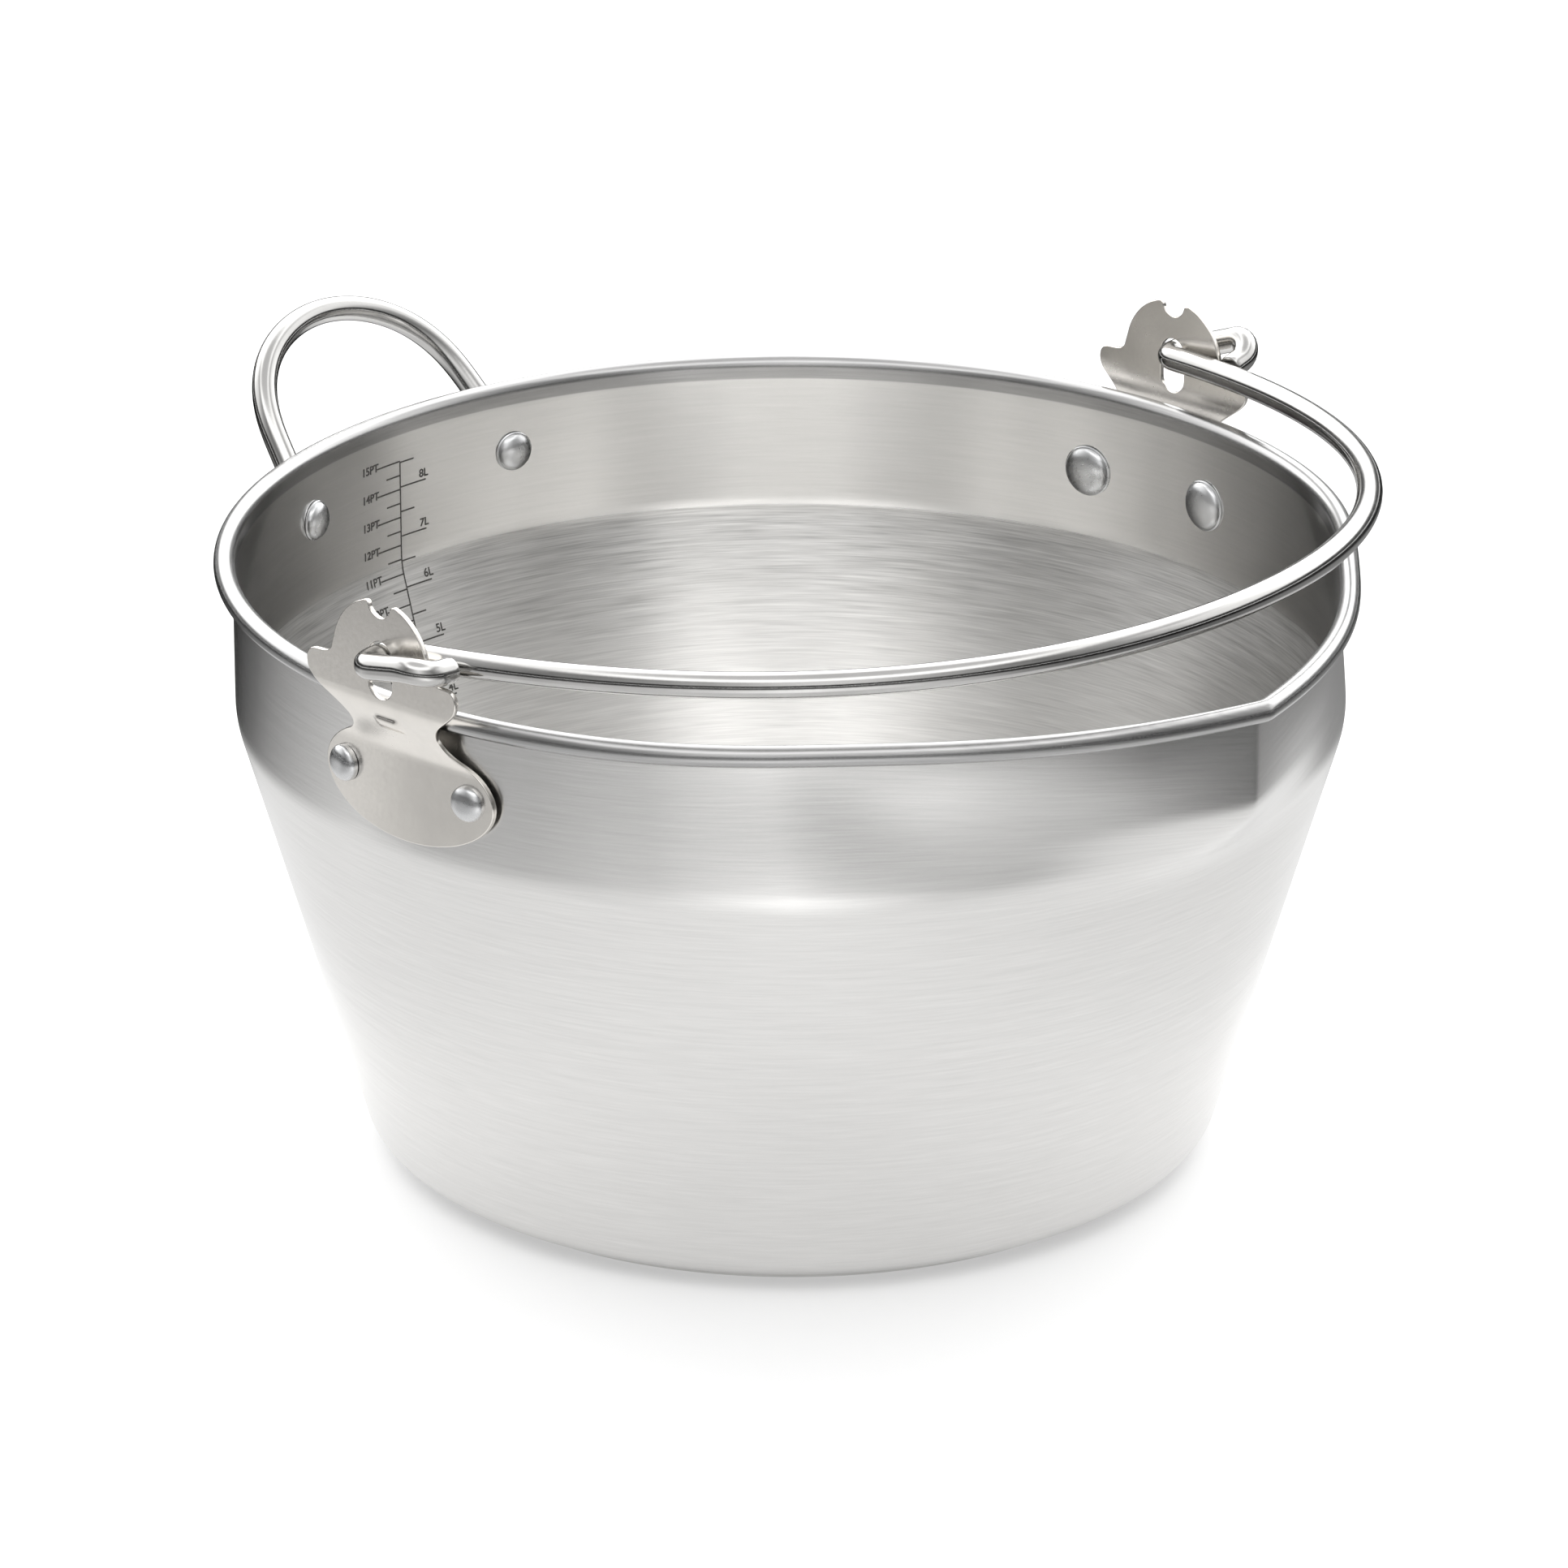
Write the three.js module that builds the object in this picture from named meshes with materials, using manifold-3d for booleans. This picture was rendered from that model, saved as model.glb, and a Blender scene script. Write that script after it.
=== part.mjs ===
// Brew kettle of the maslin kind: a wide stainless pan with a rolled rim and a pressed pouring lip,
// a swing bail held by two slotted stop plates, and a riveted loop handle at the back.
// Units are millimetres, +Z is up, the origin is the centre of the base's underside.
// The pouring lip points along -Y and the bail turns about a line along X.
import * as THREE from 'three';
import { mergeVertices } from 'three/addons/utils/BufferGeometryUtils.js';
import Module from 'manifold-3d';

const wasm = await Module();
wasm.setup();

// Pan shell
const RIM_R = 153.8;
const RIM_TOP = 168.3;
const BEAD_R = 2.5;
const WALL_R = 148.8;
const SHEET = 0.8;
const CREASE_Z = 124;
const CREASE_FILLET = 26;
const CONE_ANGLE = THREE.MathUtils.degToRad(16.15);
const SHELL_BOTTOM = 3.4;
const CORNER_R = 10.5;
const TURNS = 64;

// Pouring lip
const LIP_REACH = 17;
const LIP_HALF_ANGLE = THREE.MathUtils.degToRad(45);
const LIP_SHARPNESS = 1.9;
const LIP_NARROWING = 1.6;
const LIP_SPREAD = [125, 160];
const LIP_FADE = [113, 140];
const LIP_TURN = THREE.MathUtils.degToRad(-2.2);
const FLANK_PULL = 2.8;
const FLANK_AT = THREE.MathUtils.degToRad(41);
const FLANK_WIDTH = THREE.MathUtils.degToRad(16);
const FLANK_FADE = [116, 166];

// Sandwich base
const BASE_R = 103.3;
const CAP_SHEET = 0.7;
const CAP_HEIGHT = 1.9;
const JOINT_GAP = 0.2;

// Bail, swinging about a line along X through AXIS_Y and PIVOT_Z
const AXIS_Y = -1.5;
const PIVOT_Z = 181;
const ROD_R = 3.5;
const BAIL_TILT = THREE.MathUtils.degToRad(3);
const BAIL_REACH = 152.5;
const LEG_BEND_X = 157.5;
const LEG_LEAN = THREE.MathUtils.degToRad(8.6);
const EYE_X = 166;
const EYE_BEND = 4.5;
const CURL_BEND = 5.5;
const CURL_D = 22;
const HOOK_RISE_RIGHT = 4.8;
const HOOK_RISE_LEFT = 2;
const CURL_END_X = 155.2;
const BAIL_SHOULDER = 105;
const BAIL_CROWN = 71;

// Stop plates that carry the bail; heights are from the middle of the round head, PLATE_Z
const PLATE_Z = 179.6;
const PLATE_T = 1.5;
const FIT_GAP = 0.3;
const STAND_OFF = 157;
const JOGGLE = [151, 170];
const FOOT_CURVE_R = 200;
const HEAD_R = 16.7;
const NOTCH_R = 3.8;
const NOTCH_RISE = 15.7;
const SLOT_HALF = 4.1;
const SLOT_BOTTOM_Z = 173.5;
const OVAL_Z = 143.2;
const OVAL_HALF = [29.5, 15];

// Rivets; HEAD_GAP keeps the flat-backed inner heads off the curved wall
const PLATE_RIVET_ANGLE = THREE.MathUtils.degToRad(8.25);
const PLATE_RIVET_Z = 144;
const LOOP_RIVET_ANGLE = THREE.MathUtils.degToRad(15.1);
const LOOP_RIVET_Z = 148.6;
const LOOP_TURN = THREE.MathUtils.degToRad(-1.4);
const SHANK_R = 2.5;
const HEAD_GAP = 0.5;
const PLATE_RIVET = { inner: 7.25, outer: 4.9, seat: 151.35 };
const LOOP_RIVET = { inner: 5.6, outer: 4.4, seat: 152.4 };

// Where each rivet stands around the pan, as angles from +X; front is the lip's side.
const plateMiddle = Math.atan2(AXIS_Y, WALL_R);
const plateRivets = {
  right_front: plateMiddle - PLATE_RIVET_ANGLE,
  right_rear: plateMiddle + PLATE_RIVET_ANGLE,
  left_front: Math.PI - plateMiddle + PLATE_RIVET_ANGLE,
  left_rear: Math.PI - plateMiddle - PLATE_RIVET_ANGLE,
};
const loopRivets = {
  right: Math.PI / 2 + LOOP_TURN - LOOP_RIVET_ANGLE,
  left: Math.PI / 2 + LOOP_TURN + LOOP_RIVET_ANGLE,
};

// Loop handle
const LOOP_LEAN = THREE.MathUtils.degToRad(42);
const LOOP_FOOT_Z = 150;
const LOOP_RISE = 54.2;
const PADDLE_T = 3;
const PADDLE_HALF = 7.5;

// ---- helpers ----

const vec2 = (x, y) => new THREE.Vector2(x, y);
const vec3 = (x, y, z) => new THREE.Vector3(x, y, z);
const smooth = (a, b, x) => THREE.MathUtils.smoothstep(x, a, b);

// Merges shared vertices, drops the empty triangles at poles and turns the faces outwards.
function closed(geometry) {
  const bare = geometry.clone();
  bare.deleteAttribute('normal');
  bare.deleteAttribute('uv');
  const merged = mergeVertices(bare, 1e-4);
  const p = merged.getAttribute('position');
  const corner = (i) => vec3(p.getX(i), p.getY(i), p.getZ(i));
  const kept = [];
  let volume = 0;
  for (let i = 0; i < merged.index.count; i += 3) {
    const [a, b, c] = [0, 1, 2].map((k) => merged.index.getX(i + k));
    if (a === b || b === c || c === a) continue;
    kept.push(a, b, c);
    volume += corner(a).dot(corner(b).cross(corner(c)));
  }
  if (volume < 0) kept.reverse();
  merged.setIndex(kept);
  return merged;
}

function toSolid(geometry) {
  const g = closed(geometry);
  const vertProperties = new Float32Array(g.getAttribute('position').array);
  const triVerts = new Uint32Array(g.index.array);
  return new wasm.Manifold(new wasm.Mesh({ numProp: 3, vertProperties, triVerts }));
}

function toGeometry(solid) {
  const mesh = solid.getMesh();
  const geometry = new THREE.BufferGeometry();
  geometry.setAttribute('position', new THREE.BufferAttribute(mesh.vertProperties, 3));
  geometry.setIndex(new THREE.BufferAttribute(mesh.triVerts, 1));
  return geometry;
}

// A profile of [radius, height] pairs turned about Z, its first column on -Y.
function turned(profile, segments) {
  const lathe = new THREE.LatheGeometry(profile.map(([r, z]) => vec2(r, z)), segments);
  return lathe.rotateX(Math.PI / 2);
}

function arc(cx, cy, r, from, to, steps) {
  const points = [];
  for (let i = 0; i <= steps; i += 1) {
    const a = THREE.MathUtils.degToRad(from + ((to - from) * i) / steps);
    points.push([cx + r * Math.cos(a), cy + r * Math.sin(a)]);
  }
  return points;
}

function bezier(p0, p1, p2, p3, steps) {
  const curve = new THREE.CubicBezierCurve(vec2(...p0), vec2(...p1), vec2(...p2), vec2(...p3));
  return curve.getPoints(steps).map((p) => [p.x, p.y]);
}

// A path through given stations, so that bends get short steps and long runs get few.
class StationPath extends THREE.Curve {
  constructor(stations) {
    super();
    this.stations = stations;
  }

  getPoint(t) {
    const last = this.stations.length - 1;
    const i = Math.min(Math.floor(t * last + 1e-6), last - 1);
    return this.stations[i].clone().lerp(this.stations[i + 1], t * last - i);
  }

  getPointAt(t) {
    return this.getPoint(t);
  }

  getTangentAt(t) {
    const last = this.stations.length - 1;
    const i = Math.round(t * last);
    const ahead = this.stations[Math.min(i + 1, last)];
    return ahead.clone().sub(this.stations[Math.max(i - 1, 0)]).normalize();
  }
}

function bentRod(stations, radius) {
  const section = new THREE.Shape().absarc(0, 0, radius, 0, 2 * Math.PI);
  return new THREE.ExtrudeGeometry(section, {
    curveSegments: 5,
    steps: stations.length - 1,
    extrudePath: new StationPath(stations),
  });
}

// Cuts radial rivet holes through a solid around the pan axis.
function drilled(solid, angles, height) {
  let result = solid;
  for (const angle of angles) {
    const drill = new THREE.CylinderGeometry(SHANK_R + FIT_GAP, SHANK_R + FIT_GAP, 16, 14);
    drill.rotateZ(-Math.PI / 2);
    drill.translate(WALL_R, 0, height);
    drill.rotateZ(angle);
    result = result.subtract(toSolid(drill));
  }
  return result;
}

// ---- pan ----

const coneRadius = (z) => WALL_R - (CREASE_Z - z) * Math.tan(CONE_ANGLE);

// One face of the sheet from the flat bottom to the rim, set in from the outer face.
function sheetProfile(inset) {
  const degrees = THREE.MathUtils.radToDeg(CONE_ANGLE);
  const toCorner = CORNER_R * Math.tan(Math.PI / 4 - CONE_ANGLE / 2);
  const flat = coneRadius(SHELL_BOTTOM) - toCorner;
  const corner = arc(flat, SHELL_BOTTOM + CORNER_R, CORNER_R - inset, -90, -degrees, 4);
  const start = CREASE_Z + CREASE_FILLET * Math.tan(CONE_ANGLE / 2);
  const crease = arc(WALL_R - CREASE_FILLET, start, CREASE_FILLET - inset, -degrees, 0, 3);
  const cone = [70, 108].map((z) => [coneRadius(z) - inset / Math.cos(CONE_ANGLE), z]);
  const band = [134, 141, 148, 156].map((z) => [WALL_R - inset, z]);
  return [[0, SHELL_BOTTOM + inset], ...corner, ...cone, ...crease, ...band];
}

// The rim, rolled outwards over the wall.
function beadProfile() {
  const centre = [RIM_R - BEAD_R, RIM_TOP - BEAD_R];
  const inner = WALL_R - SHEET;
  return [
    [WALL_R, centre[1] - BEAD_R],
    ...arc(...centre, BEAD_R, -90, 90, 5),
    [centre[0] - 2.1, RIM_TOP - 0.7],
    [inner + 0.15, RIM_TOP - 2.3],
    [inner, RIM_TOP - 3.8],
  ];
}

// How far the pouring lip moves a point of the upper band outwards; it is narrower lower down.
// Pressing the lip out draws the rim in a little on both sides of it.
function lipPush(x, y, z) {
  const turn = Math.abs(Math.atan2(x, -y));
  const sharpness = LIP_SHARPNESS + LIP_NARROWING * (1 - smooth(...LIP_SPREAD, z));
  const lip = Math.max(0, 1 - turn / LIP_HALF_ANGLE) ** sharpness;
  const flank = Math.exp(-(((turn - FLANK_AT) / FLANK_WIDTH) ** 2));
  return LIP_REACH * lip * smooth(...LIP_FADE, z) - FLANK_PULL * flank * smooth(...FLANK_FADE, z);
}

function panShell() {
  const outside = sheetProfile(0);
  const inside = sheetProfile(SHEET).reverse();
  const geometry = turned([...outside, ...beadProfile(), ...inside], TURNS);
  const p = geometry.getAttribute('position');
  for (let i = 0; i < p.count; i += 1) {
    const [x, y, z] = [p.getX(i), p.getY(i), p.getZ(i)];
    const r = Math.hypot(x, y);
    if (r < 1) continue;
    const scale = (r + lipPush(x, y, z)) / r;
    p.setXY(i, x * scale, y * scale);
  }
  let shell = toSolid(geometry.rotateZ(LIP_TURN));
  shell = drilled(shell, Object.values(plateRivets), PLATE_RIVET_Z);
  shell = drilled(shell, Object.values(loopRivets), LOOP_RIVET_Z);
  return toGeometry(shell);
}

function baseCap() {
  const inner = BASE_R - CAP_SHEET;
  const profile = [
    [0, 0],
    [BASE_R - 1, 0],
    [BASE_R - 0.3, 0.3],
    [BASE_R, 1],
    [BASE_R, CAP_HEIGHT],
    [inner, CAP_HEIGHT],
    [inner, CAP_SHEET],
    [0, CAP_SHEET],
  ];
  return closed(turned(profile, TURNS));
}

function baseCore() {
  const low = CAP_SHEET + JOINT_GAP;
  const high = SHELL_BOTTOM - JOINT_GAP;
  const radius = BASE_R - CAP_SHEET - JOINT_GAP;
  return closed(turned([[0, low], [radius, low], [radius, high], [0, high]], TURNS));
}

// ---- stop plates ----

// Half of the plate's outline, from the middle of the head down to the foot's lowest point.
function plateHalf() {
  const notchEdge = 68;
  const head = arc(0, 0, HEAD_R, notchEdge + 4, 12, 7);
  const notch = arc(0, NOTCH_RISE, NOTCH_R, -90, -8, 4);
  const stop = bezier([17.1, 1], [17.4, -1.4], [19.4, -1.7], [21.5, -1.8], 3);
  const tooth = bezier([23.4, -1.9], [26.3, -2.2], [27, -5.4], [25.4, -8.2], 4);
  const waist = bezier([25.4, -8.2], [22.6, -12], [17.4, -13.4], [15.6, -18.8], 4);
  const ovalV = OVAL_Z - PLATE_Z;
  const flare = bezier([15.6, -18.8], [15.3, -21.6], [16.6, -23.4], [18.8, ovalV + 11.6], 3);
  const oval = ([x, y]) => [x * OVAL_HALF[0], y * OVAL_HALF[1] + ovalV];
  const foot = arc(0, 0, 1, 50, -90, 10).map(oval);
  return [...notch, ...head, ...stop, ...tooth, ...waist.slice(1), ...flare.slice(1), ...foot];
}

function plateShape() {
  const half = plateHalf();
  const mirrored = half.slice(1, -1).reverse().map(([u, v]) => [-u, v]);
  const shape = new THREE.Shape([...half, ...mirrored].map(([u, v]) => vec2(u, v + PLATE_Z)));
  const slot = [
    ...arc(0, PIVOT_Z, SLOT_HALF, 0, 180, 8),
    ...arc(0, SLOT_BOTTOM_Z, SLOT_HALF, 180, 360, 8),
  ];
  shape.holes.push(new THREE.Path(slot.map(([u, z]) => vec2(u, z))));
  return shape;
}

// Inner face of the plate: it follows the wall, then steps out past the rim and stays flat.
function plateFace(u, z) {
  const step = smooth(...JOGGLE, z);
  const foot = WALL_R + FIT_GAP;
  const bend = ((1 - step) * u * u) / (2 * FOOT_CURVE_R);
  return foot + (STAND_OFF - foot) * step - bend;
}

function bentSheet() {
  const levels = [126, 138, 150, 153, 156, 159, 162, 165, 168, 171, 200];
  const across = [-32, -24, -16, -8, 0, 8, 16, 24, 32];
  const slab = new THREE.BoxGeometry(1, 1, 1, 1, across.length - 1, levels.length - 1);
  const p = slab.getAttribute('position');
  for (let i = 0; i < p.count; i += 1) {
    const u = across[Math.round((p.getY(i) + 0.5) * (across.length - 1))];
    const z = levels[Math.round((p.getZ(i) + 0.5) * (levels.length - 1))];
    p.setXYZ(i, plateFace(u, z) + (p.getX(i) > 0 ? PLATE_T : 0), u + AXIS_Y, z);
  }
  return slab;
}

function stopPlate(side) {
  const blank = new THREE.ExtrudeGeometry(plateShape(), { depth: 40, bevelEnabled: false });
  blank.applyMatrix4(new THREE.Matrix4().makeBasis(vec3(0, 1, 0), vec3(0, 0, 1), vec3(1, 0, 0)));
  blank.translate(130, AXIS_Y, 0);
  const plate = toSolid(bentSheet()).intersect(toSolid(blank));
  const angles = [plateRivets.right_front, plateRivets.right_rear];
  return closed(toGeometry(drilled(plate, angles, PLATE_RIVET_Z)).scale(side, 1, 1));
}

// ---- rods ----

// Half of the bail in its own plane, as [x, distance from the pivot line].
function bailHalf(rise) {
  const lean = THREE.MathUtils.radToDeg(LEG_LEAN);
  const leg = arc(LEG_BEND_X, EYE_BEND, EYE_BEND, -90, -180 + lean, 5);
  const top = leg[leg.length - 1];
  const shoulder = [
    top[0] - BAIL_SHOULDER * Math.sin(LEG_LEAN),
    top[1] + BAIL_SHOULDER * Math.cos(LEG_LEAN),
  ];
  const bow = bezier(top, shoulder, [BAIL_CROWN, BAIL_REACH], [0, BAIL_REACH], 18);
  const hook = [
    [CURL_END_X, CURL_D],
    ...arc(EYE_X - CURL_BEND, CURL_D - CURL_BEND, CURL_BEND, 90, 0, 5),
    ...arc(EYE_X - EYE_BEND, EYE_BEND, EYE_BEND, 0, -90, 5),
  ];
  return [
    ...hook.map(([x, d]) => [x, d, rise * hookShape(x, d)]),
    ...[...leg, ...bow.slice(1)].map(([x, d]) => [x, d, 0]),
  ];
}

// The hook's outer run stands above the bail's plane before its end curls back down to it.
function hookShape(x, d) {
  const along = THREE.MathUtils.clamp((d - 2) / (CURL_D - CURL_BEND - 2), 0, 1);
  const inward = (EYE_X - x) / (EYE_X - CURL_END_X);
  return along * (1 - inward) ** 2.2;
}

function bail() {
  const right = bailHalf(HOOK_RISE_RIGHT);
  const left = bailHalf(HOOK_RISE_LEFT).slice(0, -1).reverse().map(([x, d, h]) => [-x, d, h]);
  const [c, s] = [Math.cos(BAIL_TILT), Math.sin(BAIL_TILT)];
  const place = ([x, d, h]) => vec3(x, AXIS_Y - d * c + h * s, PIVOT_Z + d * s + h * c);
  return closed(bentRod([...right, ...left].map(place), ROD_R));
}

// Half of the loop handle in its leaning plane, as [x, distance up the plane].
function loopHalf() {
  const leg = [[39.2, 5.7], [38.4, 10], [37.6, 15], [36.9, 20]];
  return [...leg, ...bezier([35.5, 30], [33.6, 44], [17, LOOP_RISE], [0, LOOP_RISE], 9)];
}

function loopHandle() {
  const footY = (WALL_R + 0.6) * Math.cos(LOOP_RIVET_ANGLE);
  const place = ([x, h]) =>
    vec3(x, footY + h * Math.sin(LOOP_LEAN), LOOP_FOOT_Z + h * Math.cos(LOOP_LEAN));
  const half = loopHalf();
  const mirrored = half.slice(0, -1).reverse().map(([x, h]) => [-x, h]);
  let handle = toSolid(bentRod([...half, ...mirrored].map(place), ROD_R));
  for (const side of [-1, 1]) {
    handle = handle.add(toSolid(paddle(side * LOOP_RIVET_ANGLE)));
  }
  const turned = toSolid(toGeometry(handle).rotateZ(LOOP_TURN));
  return toGeometry(drilled(turned, Object.values(loopRivets), LOOP_RIVET_Z));
}

// The rod's flattened end, a rounded tab flat against the wall.
function paddle(turn) {
  const low = LOOP_RIVET_Z - 0.5;
  const outline = [
    ...arc(0, low, PADDLE_HALF, 180, 360, 8),
    [PADDLE_HALF, low + 3],
    [ROD_R, low + 11.5],
    [-ROD_R, low + 11.5],
    [-PADDLE_HALF, low + 3],
  ];
  const shape = new THREE.Shape(outline.map(([u, z]) => vec2(u, z)));
  const tab = new THREE.ExtrudeGeometry(shape, { depth: PADDLE_T, bevelEnabled: false });
  tab.applyMatrix4(new THREE.Matrix4().makeBasis(vec3(-1, 0, 0), vec3(0, 0, 1), vec3(0, 1, 0)));
  tab.translate(0, WALL_R + FIT_GAP, 0);
  return tab.rotateZ(turn);
}

// ---- rivets ----

// A rivet along X: a wide domed head inside the pan, a shank and a tall domed head outside.
function rivet({ inner, outer, seat }) {
  const wall = WALL_R - SHEET - HEAD_GAP;
  const dome = (r, base, edge, height, side) =>
    [0, 30, 60, 90].map((a) => {
      const t = THREE.MathUtils.degToRad(a);
      return [r * Math.sin(t), base + side * (edge + (height - edge) * Math.cos(t))];
    });
  const profile = [
    ...dome(inner, wall, 0.7, 3, -1),
    [inner, wall],
    [SHANK_R, wall],
    [SHANK_R, seat],
    [outer, seat],
    ...dome(outer, seat, 1.1, 3.4, 1).reverse(),
  ];
  const lathe = new THREE.LatheGeometry(profile.map(([r, t]) => vec2(r, t)), 14);
  return closed(lathe.rotateZ(-Math.PI / 2));
}

// ---- assembly ----

const finish = {
  pan: { color: 0xc9c8c6, roughness: 0.36, metalness: 1 },
  plate: { color: 0xcfcdc8, roughness: 0.2, metalness: 1 },
  rod: { color: 0xd2d2d0, roughness: 0.14, metalness: 1 },
  rivet: { color: 0xc4c6ca, roughness: 0.24, metalness: 1 },
  core: { color: 0xb9babc, roughness: 0.5, metalness: 1 },
};

const kettle = new THREE.Group();

function place(name, geometry, look, turn = 0, height = 0) {
  const mesh = new THREE.Mesh(geometry, new THREE.MeshStandardMaterial(finish[look]));
  mesh.name = name;
  mesh.geometry.computeVertexNormals();
  mesh.rotation.z = turn;
  mesh.position.z = height;
  kettle.add(mesh);
}

place('pan_shell', panShell(), 'pan');
place('base_core_disc', baseCore(), 'core');
place('base_cap', baseCap(), 'pan');
place('bail_handle', bail(), 'rod');
place('loop_handle', loopHandle(), 'rod');

place('bail_plate_right', stopPlate(1), 'plate');
place('bail_plate_left', stopPlate(-1), 'plate');
for (const [where, angle] of Object.entries(plateRivets)) {
  place(`plate_rivet_${where}`, rivet(PLATE_RIVET), 'rivet', angle, PLATE_RIVET_Z);
}
for (const [where, angle] of Object.entries(loopRivets)) {
  place(`loop_rivet_${where}`, rivet(LOOP_RIVET), 'rivet', angle, LOOP_RIVET_Z);
}

export default kettle;
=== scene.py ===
"""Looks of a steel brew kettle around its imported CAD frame.

Sizes are written in millimetres and built in metres, in the frame's own axes:
+Z up, the pouring lip towards -Y, the loop handle at +Y, the bail's hinge line along X.
"""
import math

import bmesh
import bpy
import numpy as np
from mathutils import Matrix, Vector

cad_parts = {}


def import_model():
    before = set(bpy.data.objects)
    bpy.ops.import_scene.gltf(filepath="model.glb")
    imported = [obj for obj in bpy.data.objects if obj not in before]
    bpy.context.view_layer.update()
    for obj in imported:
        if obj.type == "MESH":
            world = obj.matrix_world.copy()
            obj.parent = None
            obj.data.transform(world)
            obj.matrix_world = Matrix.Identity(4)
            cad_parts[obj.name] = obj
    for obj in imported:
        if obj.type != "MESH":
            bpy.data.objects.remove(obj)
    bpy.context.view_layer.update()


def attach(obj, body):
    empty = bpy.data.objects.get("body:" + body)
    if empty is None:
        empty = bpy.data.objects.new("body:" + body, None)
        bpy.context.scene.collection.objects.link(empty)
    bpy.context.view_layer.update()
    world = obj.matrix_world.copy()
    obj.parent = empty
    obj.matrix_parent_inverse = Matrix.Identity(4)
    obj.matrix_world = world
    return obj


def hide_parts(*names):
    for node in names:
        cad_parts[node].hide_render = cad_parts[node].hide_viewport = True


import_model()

MM = 0.001
rad = math.radians

# Pan
RIM_R = 153.8
RIM_TOP = 168.3
WALL_R = 148.8
SHEET = 0.8
CREASE_Z = 124.0
CREASE_FILLET = 26.0
CONE_ANGLE = rad(16.15)
SHELL_BOTTOM = 3.4
CORNER_R = 10.5
LIP_REACH = 16.95
LIP_HALF_ANGLE = rad(45)
LIP_SHARPNESS = 1.9
LIP_NARROWING = 1.6
LIP_SPREAD = (125.0, 160.0)
LIP_FADE = (113.0, 140.0)
RIDGE_FADE = (113.0, 142.0)
LIP_TURN = rad(-2.2)
FLANK_PULL = 2.8
FLANK_AT = rad(41)
FLANK_WIDTH = rad(16)
FLANK_FADE = (116.0, 166.0)

# Base
BASE_R = 103.3
CAP_HEIGHT = 1.9

# Bail and its stop plates
AXIS_Y = -1.5
PIVOT_Z = 181.0
ROD_R = 3.47
BAIL_TILT = rad(3)
BAIL_REACH = 152.5
LEG_BEND_X = 157.5
LEG_LEAN = rad(8.6)
EYE_X = 165.9
EYE_BEND = 4.5
CURL_BEND = 5.5
CURL_D = 22.0
CURL_END_X = 155.2
HOOK_RISE_RIGHT = 4.8
HOOK_RISE_LEFT = 2.0
BAIL_SHOULDER = 105.0
BAIL_CROWN = 71.0
PLATE_Z = 179.6
PLATE_T = 1.5
STAND_OFF = 157.0
FIT_GAP = 0.3
JOGGLE = (151.0, 170.0)
FOOT_CURVE_R = 200.0
PLATE_EDGE = 0.28
HEAD_R = 16.7
NOTCH_R = 3.8
NOTCH_RISE = 15.7
SLOT_HALF = 4.1
SLOT_BOTTOM_Z = 173.5
OVAL_Z = 143.2
OVAL_HALF = (29.5, 15.0)
RIB_Z = 162.0
RIB_RISE = 1.1
RIB_ENDS = (2.6, 5.2)
RIB_EDGES = (0.5, 2.6)

# Rivets and loop handle
PLATE_RIVET_ANGLE = rad(8.25)
PLATE_RIVET_Z = 144.0
PLATE_RIVET = {"inner": 7.25, "outer": 4.9, "seat": 150.75}
LOOP_RIVET_ANGLE = rad(15.1)
LOOP_RIVET_Z = 148.6
LOOP_RIVET = {"inner": 5.6, "outer": 4.4, "seat": 152.2}
LOOP_TURN = rad(-1.4)
LOOP_LEAN = rad(42)
LOOP_FOOT_Z = 150.0
LOOP_RISE = 54.1
TAB_T = 3.0
TAB_HALF = 7.5

# Litre and pint marks
SCALE_ANGLE = rad(88.9)
EIGHT_LITRE_Z = 146.9
PINT = 0.5683
NUMERAL_SIZE = 3.3
STROKE = 0.42

# Heights where the sheet's finish changes and where a painted shade starts over the rim bead, in metres as
# its shader reads them; last, how strong that painted shade is
INNER_CREASE = (0.1243, 0.1251)
STREAKS_GROW = (0.075, 0.124)
# The rim bead's painted shade: the heights over which it comes in, then how much it darkens the steel
RIM_PAINTED_SHADE_RISE = (0.162, 0.1626)
RIM_PAINTED_SHADE = 0.42


# ---- small helpers ----

def smooth(low, high, value):
    t = np.clip((np.asarray(value, float) - low) / (high - low), 0, 1)
    return t * t * (3 - 2 * t)


def arc(cx, cy, r, start, stop, steps):
    turn = np.radians(np.linspace(start, stop, steps + 1))
    return [(cx + r * math.cos(a), cy + r * math.sin(a)) for a in turn]


def bezier(p0, p1, p2, p3, steps):
    t = np.linspace(0, 1, steps + 1)[:, None]
    p0, p1, p2, p3 = (np.asarray(p, float) for p in (p0, p1, p2, p3))
    curve = (1 - t) ** 3 * p0 + 3 * t * (1 - t) ** 2 * p1 + 3 * t * t * (1 - t) * p2 + t ** 3 * p3
    return [tuple(p) for p in curve]


def softened(path):
    """The same path with its kinks eased and its ends kept."""
    return np.concatenate([path[:1], (path[:-2] + 2 * path[1:-1] + path[2:]) / 4, path[-1:]])


def in_scene(name, data):
    obj = bpy.data.objects.new(name, data)
    bpy.context.scene.collection.objects.link(obj)
    return obj


def mesh_of(curve):
    """The mesh that a curve or a text makes."""
    maker = in_scene(curve.name, curve)
    mesh = bpy.data.meshes.new_from_object(maker.evaluated_get(bpy.context.evaluated_depsgraph_get()))
    bpy.data.objects.remove(maker)
    return mesh


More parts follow.
